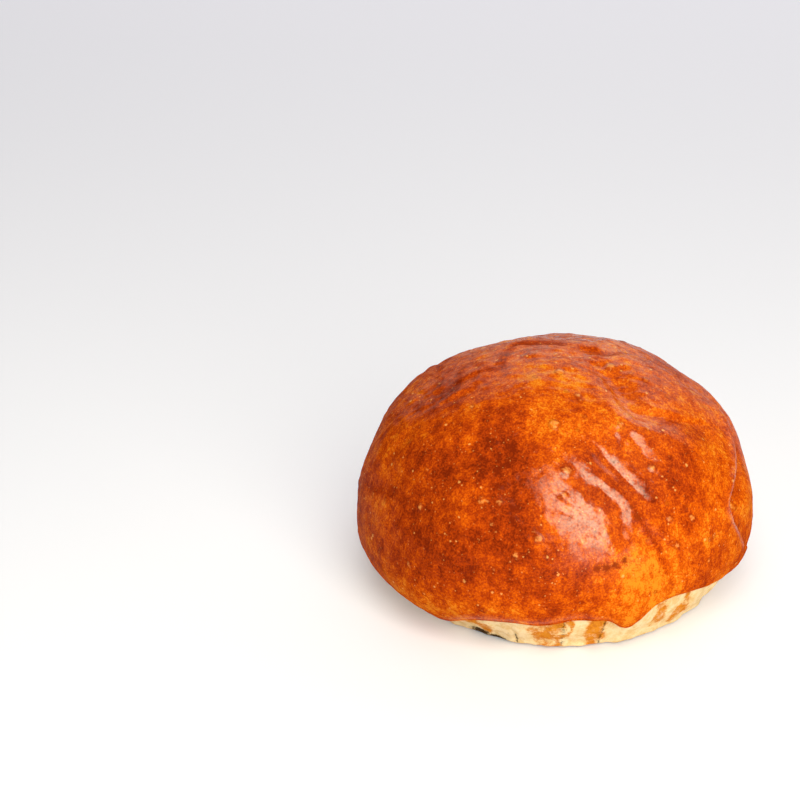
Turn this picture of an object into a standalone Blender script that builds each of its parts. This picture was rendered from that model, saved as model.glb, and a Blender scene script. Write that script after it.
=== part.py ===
"""A round glazed burger bun: one piece of bread with a domed brown crust over a paler foot.

The bun is worked out as a surface turned round the Z axis. At each azimuth a profile runs from the
crown, over the widest ring to the lip of the crust, back in under the lip and down the foot to a flat
underside. The radius and the lip's height change round the bun, and folds, hollows and swells are
added to the crust. Its front faces -Y, +X is to its right, and it rests on z = 0.
"""

import math

import bpy
import numpy as np

MM = 0.001

# Whole bun.
HEIGHT = 62.6 * MM
MEAN_RADIUS = 50.4 * MM
WIDEST_HEIGHT = 18.9 * MM

# Crust: the fullness is the exponent of the superellipse that the profile follows.
UPPER_FULLNESS = 2.15
LOWER_FULLNESS = 1.75
LOWER_DEPTH = 34.0 * MM
# Uneven rising: (waves round the bun, height of the wave, azimuth of its crest in degrees).
RADIUS_WAVES = ((2, 1.15 * MM, 18.0), (3, 0.3 * MM, -12.0), (5, 0.35 * MM, 40.0))

# Lip of the crust, and where it droops or is drawn up: (azimuth, half width in degrees, rise).
LIP_HEIGHT = 11.9 * MM
LIP_CHANGES = (
    (-136.0, 15.0, -8.2 * MM),
    (-98.0, 5.0, -0.7 * MM),
    (-87.0, 4.5, 0.8 * MM),
    (-71.0, 4.3, -4.6 * MM),
    (-54.0, 17.0, 3.3 * MM),
    (-5.0, 15.0, -2.4 * MM),
    (28.0, 12.0, 1.5 * MM),
    (58.0, 12.0, -3.0 * MM),
    (96.0, 18.0, 1.8 * MM),
    (128.0, 9.0, -3.6 * MM),
    (165.0, 14.0, 1.2 * MM),
)
# Underside of the lip: how far its edge turns in and down, how low it hangs, and its inner corner.
LIP_TURN = 0.9 * MM
LIP_HANG = 0.8 * MM
LIP_CORNER_RISE = 0.1 * MM

# Foot of the bun, below the lip.
FOOT_RADIUS = 39.9 * MM
FOOT_WAVE_SHARE = 0.7
FOOT_LEAN = 1.7 * MM
FOOT_LEAN_AZIMUTH = -52.0
# Where the foot stands out or is drawn in: (azimuth, half width in degrees, change of radius).
FOOT_CHANGES = (
    (-122.0, 14.0, -1.3 * MM),
    (-70.0, 10.0, 0.7 * MM),
    (58.0, 12.0, 0.6 * MM),
    (150.0, 18.0, -0.8 * MM),
)
FOOT_TOP_INSET = 2.7 * MM
FOOT_EDGE = 2.6 * MM
FOOT_EDGE_SHARE = 0.3
FOOT_HALFWAY_SHARE = 0.28
PLEAT_DEPTH = 0.45 * MM
PLEATS = (11, 17, 29)
PLEAT_PHASE = 1.7
PLEAT_TWIST = 0.06

# Folds in the crust: (points, depth, half width, height of the shoulder on the left, skew). The points
# are (azimuth, climb) in degrees, seen from the middle of the widest ring. Left is the left hand of
# someone who walks along the fold; a positive skew makes the left side gentler and the right steeper.
FOLDS = (
    # From the crown down the right front and round to the right.
    (((-25, 39), (-35, 45), (-44, 49.5), (-50, 53.5), (-49, 58), (-43, 64), (-36, 71), (-30, 80)),
     1.9 * MM, 3.9 * MM, 0.5 * MM, -0.1),
    # Behind the crown, and on down to the bulge on the right.
    (((-8, 40), (0, 46), (10, 51), (18, 56), (22, 62), (12, 73), (-6, 84), (-130, 87)),
     0.8 * MM, 2.6 * MM, 0.35 * MM, -0.2),
    (((-19, -2), (-25, 6), (-29, 12), (-27, 15.5), (-15, 20.5), (-6, 25), (0, 33), (4, 42)),
     2.0 * MM, 3.2 * MM, 0.5 * MM, -0.3),
    # Down the front.
    (((-88, 35), (-85.5, 34), (-82, 32.4), (-79, 30.6), (-76, 28.3), (-74, 25), (-73.3, 20.5), (-73.3, 16)),
     0.8 * MM, 2.4 * MM, 0.0 * MM, -0.1),
    (((-80, 44.5), (-76, 40.5), (-72, 36), (-68.5, 31.5), (-65.5, 27)), 0.85 * MM, 2.4 * MM, 0.0 * MM, -0.2),
    (((-111.5, 36), (-109, 30.3), (-106, 25.8), (-101, 21), (-96, 16.3), (-91.5, 12), (-86, 6)),
     0.3 * MM, 3.6 * MM, 0.0 * MM, -0.5),
    (((-69, 21), (-66, 15), (-62, 9.5), (-57, 1)), 0.8 * MM, 2.4 * MM, 0.2 * MM, 0.3),
    # On the left, the back and the right.
    (((-173, 43), (-172, 50), (-168, 57)), 0.5 * MM, 2.2 * MM, 0.2 * MM, 0.0),
    (((66, 44), (82, 36), (86, 25), (74, 14)), 1.4 * MM, 3.2 * MM, 0.5 * MM, 0.3),
    (((84, 30), (98, 22), (110, 10)), 0.9 * MM, 2.8 * MM, 0.3 * MM, 0.0),
    (((150, 40), (141, 28), (145, 13), (150, 2)), 1.5 * MM, 3.4 * MM, 0.4 * MM, -0.3),
    (((36, 38), (44, 28), (38, 16)), 0.9 * MM, 2.8 * MM, 0.4 * MM, 0.2),
)
# Fading at a fold's ends: where on the sine it starts, how much of it is used, and its exponent.
FADE_START = 0.08
FADE_LENGTH = 0.84
FADE_POWER = 0.7
SHOULDER_DISTANCE = 1.7
POINTS_PER_KNOT = 8

# Hollows (negative) and swells: (azimuth, climb, half width, height).
SWELLS = (
    (-2, 34, 8 * MM, 0.6 * MM),
    (-9, 1, 8 * MM, 0.5 * MM),
    (20, 42, 12 * MM, -0.6 * MM),
    (-143, -8, 11 * MM, 1.2 * MM),
    (-164, 8, 10 * MM, -0.5 * MM),
    (-69, -8, 7 * MM, 0.9 * MM),
    (-60, -5, 8 * MM, -1.2 * MM),
    (-100, 70, 16 * MM, -0.5 * MM),
    (-108, 40, 9 * MM, -0.5 * MM),
    (-35, 58, 12 * MM, -0.7 * MM),
    (120, 55, 14 * MM, -0.8 * MM),
    (45, 12, 13 * MM, 0.6 * MM),
    (62, 60, 9 * MM, 0.8 * MM),
    (98, 61, 8 * MM, -0.5 * MM),
    (-93, 23, 9 * MM, 0.6 * MM),
    (-106, 10, 9 * MM, -0.6 * MM),
    (8, 22, 7 * MM, 0.7 * MM),
)

LUMP_LENGTH = 24.0 * MM
LUMP_HEIGHT = 0.35 * MM
LUMP_WAVES = 28
LUMP_SPREAD = (0.7, 1.5)
LUMP_SEED = 5

# Mesh: columns round the bun, and rows along each stretch of the profile.
COLUMNS = 128
CRUST_ROWS = 38
LIP_ROWS = 5
FOOT_ROWS = 6
BASE_ROWS = 4
POLE_COLUMNS = 16
HALVING_SHARE = 0.62
BASE_CORE_RADIUS = 6.0 * MM

CRUST_COLOR = (0.58, 0.15, 0.012, 1.0)
CRUST_ROUGHNESS = 0.35
SMOOTH_ANGLE = math.radians(60)


def wave_radius(azimuth):
    """Radius of the widest ring at each azimuth."""
    radius = np.full_like(azimuth, MEAN_RADIUS)
    for waves, height, crest in RADIUS_WAVES:
        radius = radius + height * np.cos(waves * (azimuth - math.radians(crest)))
    return radius


def angle_from(azimuth, centre_degrees):
    """Signed angle from a centre, in degrees, from -180 to 180."""
    return (np.degrees(azimuth) - centre_degrees + 180.0) % 360.0 - 180.0


def lip_height(azimuth):
    """Height of the crust's lip at each azimuth."""
    height = np.full_like(azimuth, LIP_HEIGHT)
    for centre, half_width, rise in LIP_CHANGES:
        height = height + rise * np.exp(-(angle_from(azimuth, centre) / half_width) ** 2)
    return height


def crust_point(azimuth, polar):
    """Radius and height on the plain crust. The polar angle runs down from the crown."""
    above = polar <= math.pi / 2
    reach = np.where(above, HEIGHT - WIDEST_HEIGHT, LOWER_DEPTH)
    fullness = np.where(above, UPPER_FULLNESS, LOWER_FULLNESS)
    sine = np.abs(np.sin(polar))
    cosine = np.cos(polar)
    length = (sine / wave_radius(azimuth)) ** fullness + (np.abs(cosine) / reach) ** fullness
    length = length ** (-1.0 / fullness)
    return length * sine, WIDEST_HEIGHT + length * cosine


def lip_point(azimuth):
    """Radius, height and polar angle of the lip, where the crust turns under."""
    height = lip_height(azimuth)
    fall = (WIDEST_HEIGHT - height) / LOWER_DEPTH
    radius = wave_radius(azimuth) * (1.0 - fall ** LOWER_FULLNESS) ** (1.0 / LOWER_FULLNESS)
    polar = math.pi / 2 + np.arctan2(WIDEST_HEIGHT - height, radius)
    return radius, height, polar


def smooth_path(knots, count):
    """Points of a Catmull-Rom curve through the knots, evenly spread in its parameter."""
    knots = np.asarray(knots, dtype=float)
    padded = np.concatenate([2 * knots[:1] - knots[1:2], knots, 2 * knots[-1:] - knots[-2:-1]])
    place = np.linspace(0.0, len(knots) - 1.0, count)
    start = np.minimum(place.astype(int), len(knots) - 2)
    t = (place - start).reshape((-1,) + (1,) * (knots.ndim - 1))
    p0, p1, p2, p3 = (padded[start + step] for step in range(4))
    return 0.5 * (2 * p1 + (p2 - p0) * t + (2 * p0 - 5 * p1 + 4 * p2 - p3) * t ** 2
                  + (3 * p1 - p0 - 3 * p2 + p3) * t ** 3)


def pleat(azimuth):
    """Shallow upright pleats round the foot, from -1 to 1."""
    phases = np.arange(len(PLEATS)) * PLEAT_PHASE
    waves = [np.sin(number * azimuth + phase) for number, phase in zip(PLEATS, phases)]
    return sum(waves) / len(PLEATS)


def lip_knots(azimuth):
    """Profile from the lip, round its roll and up to the inner corner above the foot."""
    radius, height, _ = lip_point(azimuth)
    top = foot_top_radius(azimuth)
    return [
        (radius, height),
        (radius - LIP_TURN, height - LIP_TURN),
        (0.5 * (radius + top), height - LIP_HANG),
        (top, height + LIP_CORNER_RISE),
    ]


def foot_top_radius(azimuth):
    """Radius of the foot where it meets the underside of the lip."""
    radius, _, _ = lip_point(azimuth)
    return radius - FOOT_TOP_INSET + PLEAT_DEPTH * pleat(azimuth)


def foot_knots(azimuth):
    """Profile from the inner corner, down the foot and round its lower edge to the flat base."""
    _, height, _ = lip_point(azimuth)
    top = foot_top_radius(azimuth)
    bottom = FOOT_RADIUS + FOOT_WAVE_SHARE * (wave_radius(azimuth) - MEAN_RADIUS)
    bottom = bottom + FOOT_LEAN * np.cos(azimuth - math.radians(FOOT_LEAN_AZIMUTH))
    for centre, half_width, change in FOOT_CHANGES:
        bottom = bottom + change * np.exp(-(angle_from(azimuth, centre) / half_width) ** 2)
    bottom = bottom + PLEAT_DEPTH * pleat(azimuth + PLEAT_TWIST)
    corner = height + LIP_CORNER_RISE
    return [
        (top, corner),
        (top + FOOT_HALFWAY_SHARE * (bottom - top), 0.5 * (corner + FOOT_EDGE)),
        (bottom, FOOT_EDGE),
        (bottom - FOOT_EDGE_SHARE * FOOT_EDGE, FOOT_EDGE_SHARE * FOOT_EDGE),
        (bottom - FOOT_EDGE, 0.0),
    ]


def along_knots(knots, count):
    """Radius and height rows along a profile stretch, without its first point."""
    path = smooth_path([np.stack(np.broadcast_arrays(*knot)) for knot in knots], count + 1)[1:]
    return path[:, 0], np.maximum(path[:, 1], 0.0)


def on_crust(azimuth_degrees, climb_degrees):
    """Points on the plain crust from azimuth and climb in degrees."""
    azimuth = np.radians(np.asarray(azimuth_degrees, dtype=float))
    polar = np.radians(90.0 - np.asarray(climb_degrees, dtype=float))
    radius, height = crust_point(azimuth, polar)
    return np.stack([radius * np.cos(azimuth), radius * np.sin(azimuth), height], axis=-1)


def fold_relief(points, knots, depth, half_width, shoulder, skew):
    """A groove along a curve, fading at both ends, with a raised shoulder on its left side."""
    angles = smooth_path(knots, POINTS_PER_KNOT * len(knots))
    curve = on_crust(angles[:, 0], angles[:, 1])
    centre = np.array([0.0, 0.0, WIDEST_HEIGHT])
    nearest = np.full(points.shape[:-1], np.inf)
    along = np.zeros(points.shape[:-1])
    side = np.zeros(points.shape[:-1])
    for index in range(len(curve) - 1):
        start, step = curve[index], curve[index + 1] - curve[index]
        share = np.clip(((points - start) @ step) / (step @ step), 0.0, 1.0)
        offset = points - (start + share[..., None] * step)
        distance = np.linalg.norm(offset, axis=-1)
        left = np.cross(start - centre, step)
        closer = distance < nearest
        nearest = np.where(closer, distance, nearest)
        along = np.where(closer, (index + share) / (len(curve) - 1), along)
        side = np.where(closer, offset @ (left / np.linalg.norm(left)), side)
    fade = np.sin(math.pi * (FADE_START + FADE_LENGTH * along)) ** FADE_POWER
    width = half_width * np.where(side > 0, 1.0 + skew, 1.0 - skew)
    groove = np.exp(-(nearest / width) ** 2)
    ridge = np.exp(-(nearest / half_width - SHOULDER_DISTANCE) ** 2) * (side > 0)
    return fade * (shoulder * ridge - depth * groove)


def lump_relief(points):
    """Broad soft lumps, as a sum of waves in random directions."""
    random = np.random.default_rng(LUMP_SEED)
    relief = np.zeros(points.shape[:-1])
    for _ in range(LUMP_WAVES):
        direction = random.normal(size=3)
        direction /= np.linalg.norm(direction)
        length = LUMP_LENGTH * random.uniform(*LUMP_SPREAD)
        relief += np.sin(points @ direction * (2 * math.pi / length) + random.uniform(0, 2 * math.pi))
    return LUMP_HEIGHT * relief / math.sqrt(LUMP_WAVES / 2)


def crust_relief(points):
    """All relief of the crust at the given points of its plain form."""
    relief = lump_relief(points)
    for fold in FOLDS:
        relief += fold_relief(points, *fold)
    for azimuth, climb, half_width, height in SWELLS:
        distance = np.linalg.norm(points - on_crust(azimuth, climb), axis=-1)
        relief += height * np.exp(-(distance / half_width) ** 2)
    return relief


def ring_azimuths(columns):
    """Azimuths of the columns of one ring."""
    return np.arange(columns) * (2 * math.pi / columns)


def ring_columns(radius):
    """Columns of a ring this wide: halved towards the pole, so that triangles keep their size."""
    columns = COLUMNS
    while columns > POLE_COLUMNS and radius < HALVING_SHARE * MEAN_RADIUS * columns / COLUMNS:
        columns //= 2
    return columns


def crust_ring(share):
    """One ring of the crust, its share of the way from the crown to the lip."""
    front = np.zeros(1)
    columns = ring_columns(crust_point(front, share * lip_point(front)[2])[0][0])
    azimuth = ring_azimuths(columns)
    polar = share * lip_point(azimuth)[2]
    radius, height = crust_point(azimuth, polar)
    points = np.stack([radius * np.cos(azimuth), radius * np.sin(azimuth), height], axis=-1)
    outward = points - np.array([0.0, 0.0, WIDEST_HEIGHT])
    outward /= np.linalg.norm(outward, axis=-1, keepdims=True)
    return points + outward * crust_relief(points)[:, None]


def lower_rings():
    """Rings of the lip's roll, the foot and its lower edge, from the lip down."""
    azimuth = ring_azimuths(COLUMNS)
    direction = np.stack([np.cos(azimuth), np.sin(azimuth)], axis=-1)
    radius, height, _ = lip_point(azimuth)
    lip = np.concatenate([direction * radius[:, None], height[:, None]], axis=-1)
    relief = crust_relief(lip)
    rings = []
    lip_radius, lip_z = along_knots(lip_knots(azimuth), LIP_ROWS)
    fades = np.linspace(1.0, 0.0, LIP_ROWS + 1)[1:]
    for row_radius, row_z, fade in zip(lip_radius, lip_z, fades):
        rings.append(np.concatenate([direction * (row_radius + fade * relief)[:, None],
                                     row_z[:, None]], axis=-1))
    foot_radius, foot_z = along_knots(foot_knots(azimuth), FOOT_ROWS)
    for row_radius, row_z in zip(foot_radius, foot_z):
        rings.append(np.concatenate([direction * row_radius[:, None], row_z[:, None]], axis=-1))
    return rings


def base_rings(edge):
    """Flat rings of the underside, from its edge to a small ring round the middle."""
    rings = []
    edge_radius = np.linalg.norm(edge[:, :2], axis=-1)
    for row in range(1, BASE_ROWS + 1):
        share = 1.0 - row / BASE_ROWS
        radius = BASE_CORE_RADIUS + share * (edge_radius - BASE_CORE_RADIUS)
        columns = ring_columns(radius.mean())
        radius = radius[::len(edge) // columns]
        azimuth = ring_azimuths(columns)
        rings.append(np.stack([radius * np.cos(azimuth), radius * np.sin(azimuth),
                               np.zeros(columns)], axis=-1))
    return rings


def join_rings(upper, upper_start, lower, lower_start):
    """Triangles between two neighbouring rings with equal columns, or one with twice as many."""
    faces = []
    fine, coarse = max(upper, lower), min(upper, lower)
    for index in range(coarse):
        following = (index + 1) % coarse
        if upper == lower:
            a, b = upper_start + index, upper_start + following
            c, d = lower_start + index, lower_start + following
            faces += [(a, c, d), (a, d, b)]
            continue
        near, middle, far = 2 * index, 2 * index + 1, (2 * index + 2) % fine
        if upper < lower:
            a, b = upper_start + index, upper_start + following
            c, d, e = lower_start + near, lower_start + middle, lower_start + far
            faces += [(a, c, d), (a, d, b), (b, d, e)]
        else:
            c, d = lower_start + index, lower_start + following
            a, m, b = upper_start + near, upper_start + middle, upper_start + far
            faces += [(a, c, m), (m, c, d), (m, d, b)]
    return faces


def surface_mesh(name, rings):
    """A closed mesh from rings that run from the crown down and in to the middle of the base."""
    crown = np.array([[0.0, 0.0, HEIGHT]])
    crown[0, 2] += crust_relief(crown)[0]
    middle = np.zeros((1, 3))
    vertices = np.concatenate([crown] + rings + [middle])
    vertices[:, 0] -= 0.5 * (vertices[:, 0].max() + vertices[:, 0].min())
    vertices[:, 1] -= 0.5 * (vertices[:, 1].max() + vertices[:, 1].min())
    starts = np.cumsum([1] + [len(ring) for ring in rings])
    faces = [(0, 1 + index, 1 + (index + 1) % len(rings[0])) for index in range(len(rings[0]))]
    for row in range(len(rings) - 1):
        faces += join_rings(len(rings[row]), starts[row], len(rings[row + 1]), starts[row + 1])
    last, count = starts[-2], len(rings[-1])
    faces += [(last + index, len(vertices) - 1, last + (index + 1) % count) for index in range(count)]
    mesh = bpy.data.meshes.new(name)
    mesh.from_pydata(vertices.tolist(), [], [tuple(map(int, face)) for face in faces])
    mesh.validate()
    return mesh


def crust_material():
    """Glazed brown crust."""
    material = bpy.data.materials.new("crust")
    material.use_nodes = True
    shader = material.node_tree.nodes["Principled BSDF"]
    shader.inputs["Base Color"].default_value = CRUST_COLOR
    shader.inputs["Roughness"].default_value = CRUST_ROUGHNESS
    shader.inputs["Metallic"].default_value = 0.0
    return material


def make_bun():
    """The whole bun as one closed object."""
    rings = [crust_ring((row + 1) / CRUST_ROWS) for row in range(CRUST_ROWS)]
    rings += lower_rings()
    rings += base_rings(rings[-1])
    mesh = surface_mesh("bun", rings)
    mesh.materials.append(crust_material())
    mesh.shade_smooth()
    mesh.set_sharp_from_angle(angle=SMOOTH_ANGLE)
    bun = bpy.data.objects.new("bun", mesh)
    bpy.context.scene.collection.objects.link(bun)
    return bun


for old in list(bpy.data.objects):
    bpy.data.objects.remove(old, do_unlink=True)
make_bun()
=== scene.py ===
"""Dressed burger bun: the glazed crust, its folds, blisters and browning, and the pale foot under its lip.

The bun is one surface turned round the Z axis. At each azimuth a profile runs from the crown, over the
widest ring to the lip of the crust, back in under the lip, down the foot and in along the flat
underside. Relief and colour masks are functions of the points on that surface. The front faces -Y.
"""

import math

import bpy
import numpy as np
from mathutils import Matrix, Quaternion, Vector


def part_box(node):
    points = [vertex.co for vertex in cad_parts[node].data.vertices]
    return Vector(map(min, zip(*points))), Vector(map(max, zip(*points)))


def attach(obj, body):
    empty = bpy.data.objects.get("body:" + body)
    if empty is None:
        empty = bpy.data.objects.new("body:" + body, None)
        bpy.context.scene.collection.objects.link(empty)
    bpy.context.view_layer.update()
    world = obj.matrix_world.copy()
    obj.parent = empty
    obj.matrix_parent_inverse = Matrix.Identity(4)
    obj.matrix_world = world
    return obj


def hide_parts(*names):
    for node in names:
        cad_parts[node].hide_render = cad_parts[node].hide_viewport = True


bl_info = {
    "name": "Burger Bun",
    "version": (1, 0, 0),
    "blender": (4, 5, 0),
    "location": "View3D > Sidebar > Bun",
    "description": "Makes a glazed burger bun with blistered crust and a pale foot",
    "category": "Add Mesh",
}

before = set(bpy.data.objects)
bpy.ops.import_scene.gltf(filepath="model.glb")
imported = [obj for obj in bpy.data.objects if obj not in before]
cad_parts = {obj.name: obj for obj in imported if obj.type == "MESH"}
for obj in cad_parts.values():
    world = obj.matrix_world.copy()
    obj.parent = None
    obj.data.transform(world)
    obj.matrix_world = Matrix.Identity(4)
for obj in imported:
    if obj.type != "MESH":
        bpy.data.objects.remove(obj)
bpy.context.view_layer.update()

MM = 0.001


def metres(columns, rows):
    """Rows of a table with the millimetres in some of their columns turned into metres."""
    return tuple(tuple(value * MM if place in columns else value for place, value in enumerate(row))
                 for row in rows)


# ------------------------ form

# Uneven rising: (waves round the bun, height of the wave, azimuth of its crest in degrees).
RADIUS_WAVES = ((2, 1.15 * MM, 18.0), (3, 0.3 * MM, -12.0), (5, 0.35 * MM, 40.0))
# Below the widest ring the crust follows a superellipse of this exponent and depth.
LOWER_FULLNESS = 1.75
LOWER_DEPTH = 34.0 * MM

# Where the lip droops or is drawn up: (azimuth, half width in degrees, rise).
LIP_CHANGES = metres((2,), (
    (-136.0, 15.0, -8.2),
    (-98.0, 5.0, -0.7),
    (-87.0, 4.5, 0.8),
    (-71.0, 4.3, -4.6),
    (-54.0, 17.0, 3.3),
    (-5.0, 15.0, -2.4),
    (28.0, 12.0, 1.5),
    (58.0, 12.0, -3.0),
    (96.0, 18.0, 1.8),
    (128.0, 9.0, -3.6),
    (165.0, 14.0, 1.2),
))
# Underside of the lip: how far its edge turns in and down, how low it hangs, and its inner corner.
LIP_TURN = 0.9 * MM
LIP_HANG = 0.8 * MM
LIP_CORNER_RISE = 0.1 * MM

# Foot: how much it follows the waves of the widest ring, and how far and which way it leans.
FOOT_WAVE_SHARE = 0.7
FOOT_LEAN = 1.7 * MM
FOOT_LEAN_AZIMUTH = -52.0
# Where the foot stands out or is drawn in: (azimuth, half width in degrees, change of radius).
FOOT_CHANGES = metres((2,), (
    (-122.0, 14.0, -1.3),
    (-70.0, 10.0, 0.7),
    (58.0, 12.0, 0.6),
    (150.0, 18.0, -0.8),
))
# Its top lies this far inside the lip, its lower edge is rounded off this far up and in, through a point at
# a share of that, and halfway down it has come in by a share of its whole way.
FOOT_TOP_INSET = 2.7 * MM
FOOT_EDGE = 2.6 * MM
FOOT_EDGE_SHARE = 0.3
FOOT_HALFWAY_SHARE = 0.28
# Pleats: depth, waves round the bun, step between their phases, and how far they turn down the foot.
PLEAT_DEPTH = 0.45 * MM
PLEATS = (11, 17, 29)
PLEAT_PHASE = 1.7
PLEAT_TWIST = 0.06
# Fine unevenness of the foot: (wavelength, height, waves, seed).
FOOT_CRUMB = (3.2 * MM, 0.11 * MM, 60, 14)

# Creases over the crown, from side to side, as (azimuth, climb) in degrees.
CROWN_CREASE_LEFT = ((152, 70.7), (142.5, 74.7), (122, 79.7), (81, 83.3), (50, 84))
CROWN_CREASE_RIGHT = ((32, 83.3), (16, 78.8), (6.4, 74.6), (10, 68))

# Folds in the crust: (points, depth, half width, height of the shoulder on the left, skew). The points
# are (azimuth, climb) in degrees, seen from the middle of the widest ring. Left is the left hand of
# someone who walks along the fold; a positive skew makes the left side gentler and the right steeper.
FOLDS = metres((1, 2, 3), (
    # From the crown down the right front and round to the right.
    (((-25, 39), (-35, 45), (-44, 49.5), (-50, 53.5), (-49, 58), (-43, 64), (-36, 71), (-30, 80)),
     1.9, 3.9, 0.5, -0.1),
    # Behind the crown, and on down to the bulge on the right.
    (((-8, 40), (0, 46), (10, 51), (18, 56), (22, 62), (12, 73), (-6, 84), (-130, 87)),
     0.8, 2.6, 0.35, -0.2),
    (((-19, -2), (-25, 6), (-29, 12), (-27, 15.5), (-15, 20.5), (-6, 25), (0, 33), (4, 42)),
     2.0, 3.2, 0.5, -0.3),
    # Down the front.
    (((-88, 35), (-85.5, 34), (-82, 32.4), (-79, 30.6), (-76, 28.3), (-74, 25), (-73.3, 20.5),
      (-73.3, 16)),
     0.8, 2.4, 0.0, -0.1),
    (((-80, 44.5), (-76, 40.5), (-72, 36), (-68.5, 31.5), (-65.5, 27)),
     0.85, 2.4, 0.0, -0.2),
    (((-111.5, 36), (-109, 30.3), (-106, 25.8), (-101, 21), (-96, 16.3), (-91.5, 12), (-86, 6)),
     0.3, 3.6, 0.0, -0.5),
    (((-69, 21), (-66, 15), (-62, 9.5), (-57, 1)), 0.8, 2.4, 0.2, 0.3),
    # On the left, the back and the right.
    (((-173, 43), (-172, 50), (-168, 57)), 0.5, 2.2, 0.2, 0.0),
    (((66, 44), (82, 36), (86, 25), (74, 14)), 1.4, 3.2, 0.5, 0.3),
    (((84, 30), (98, 22), (110, 10)), 0.9, 2.8, 0.3, 0.0),
    (((150, 40), (141, 28), (145, 13), (150, 2)), 1.5, 3.4, 0.4, -0.3),
    (((36, 38), (44, 28), (38, 16)), 0.9, 2.8, 0.4, 0.2),
))
# Fading at a fold's ends: where on the sine it starts, how much of it is used, and its exponent. Then how
# far out the shoulder stands, in half widths, and the points of the curve for each point given.
FADE_START = 0.08
FADE_LENGTH = 0.84
FADE_POWER = 0.7
SHOULDER_DISTANCE = 1.7
POINTS_PER_KNOT = 8
# Narrow grooves and creases, in the same form; a depth below 0 makes a ridge.
FINE_FOLDS = metres((1, 2, 3), (
    (((-63, 52), (-61.5, 46), (-60, 40), (-59.5, 34)), 0.35, 1.3, 0.0, 0.2),
    (((-89, 44.5), (-84.5, 42.3), (-81, 39.8), (-78.5, 36)), -0.55, 2.8, 0.0, 0.0),
    (((-86, 8), (-78, 9), (-72.5, 12), (-68.5, 17)), 0.4, 2.2, 0.0, -0.4),
    (((-96.5, 31), (-93, 28), (-88, 26.3), (-84.5, 25.5)), 0.16, 0.8, 0.1, 0.0),
    (((-94, 25), (-90, 23.5), (-86, 23)), 0.12, 0.7, 0.08, 0.0),
    (((-45, 52), (-40, 49.5), (-35.6, 47.3), (-30, 43), (-22, 38.5)), 0.45, 1.0, 0.4, 0.0),
    (((-6, 41), (-11, 32.5), (-19, 25.5), (-30, 19.7), (-34, 16.8), (-33, 12), (-27, 4.7)),
     -0.35, 1.0, 0.0, 0.0),
    (CROWN_CREASE_LEFT, 0.35, 1.5, 0.2, 0.0),
    (CROWN_CREASE_RIGHT, 0.3, 1.4, 0.2, 0.0),
    # On the upper left, along the outline.
    (((163, 32), (161, 41), (154, 48), (146, 55)), 0.2, 1.2, 0.1, 0.0),
    (((176, 50), (172, 55), (170, 64), (165, 74), (146, 83)), 0.2, 1.2, 0.1, 0.0),
    (((-170, 42), (-165, 49), (-163, 54), (-162, 61)), 0.4, 1.2, 0.25, 0.0),
    (((-169, 46.5), (-167.5, 49), (-168, 53)), 0.6, 1.1, 0.3, -0.2),
    (((-155, 47), (-152, 53), (-148, 58)), 0.45, 0.9, 0.25, 0.0),
))

# Hollows (negative) and swells: (azimuth, climb, half width, height).
SWELLS = metres((2, 3), (
    (-2, 34, 8, 0.6),
    (-9, 1, 8, 0.5),
    (20, 42, 12, -0.6),
    (-143, -8, 11, 1.2),
    (-164, 8, 10, -0.5),
    (-69, -8, 7, 0.9),
    (-60, -5, 8, -1.2),
    (-100, 70, 16, -0.5),
    (-108, 40, 9, -0.5),
    (-35, 58, 12, -0.7),
    (120, 55, 14, -0.8),
    (45, 12, 13, 0.6),
    (62, 60, 9, 0.8),
    (98, 61, 8, -0.5),
    (-93, 23, 9, 0.6),
    (-106, 10, 9, -0.6),
    (8, 22, 7, 0.7),
))
# Long lumps, and fine relief that only shows close up: (wavelength, height, waves, seed). Each wave's own
# length lies between these multiples of the wavelength.
WAVE_SPREAD = (0.7, 1.5)
LUMPS = (24.0 * MM, 0.35 * MM, 28, 5)
PEEL = (6.5 * MM, 0.05 * MM, 40, 11)
PEBBLE = (2.2 * MM, 0.028 * MM, 80, 12)
# Fine creases over the top, in the same form, and their length from side to side as a multiple of their
# width. They lie where these bells are: (azimuth, climb, half width, share).
CREASES = (2.4 * MM, 0.09 * MM, 80, 13)
CREASE_STRETCH = 2.0
CREASE_PLACES = metres((2,), (
    (170, 60, 26, 1.0),
    (-170, 46, 14, 0.6),
    (60, 80, 24, 0.8),
    (0, 60, 14, 0.5),
))

# Blisters that stand out on the front: (azimuth, climb, radius, height).
PLACED_BLISTERS = metres((2, 3), (
    (-96, 52, 1.25, 0.55),
    (-64, 50, 0.8, 0.35),
    (-22, 72, 1.25, 0.5),
    (-91, 37, 1.2, 0.5),
    (-137, 19, 0.9, 0.4),
    (-99, 18, 1.0, 0.45),
    (-105, 13, 0.8, 0.35),
    (-58, 20, 0.8, 0.4),
    (-50, 18, 0.8, 0.4),
    (-57, 12, 0.8, 0.35),
    (-59, 35, 0.9, 0.4),
    (-93, 75, 1.1, 0.45),
    (-92, 30, 0.8, 0.3),
))
PLACED_PALENESS = 0.9
# Small blisters are drawn at random: least and most sine of their climb, and the exponent that makes most
# of them small. Radius and height are the first value plus up to the second; paleness lies between two.
# The reach is how far above and below its centre a blister is worked out, in radii.
BLISTERS = 150
BLISTER_SEED = 21
BLISTER_SINES = (-0.12, 1.0)
BLISTER_POWER = 0.35
BLISTER_RADIUS = (0.55 * MM, 0.55 * MM)
BLISTER_HEIGHT = (0.08 * MM, 0.17 * MM)
BLISTER_PALENESS = (0.2, 1.0)
BLISTER_REACH = 2.5

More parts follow.
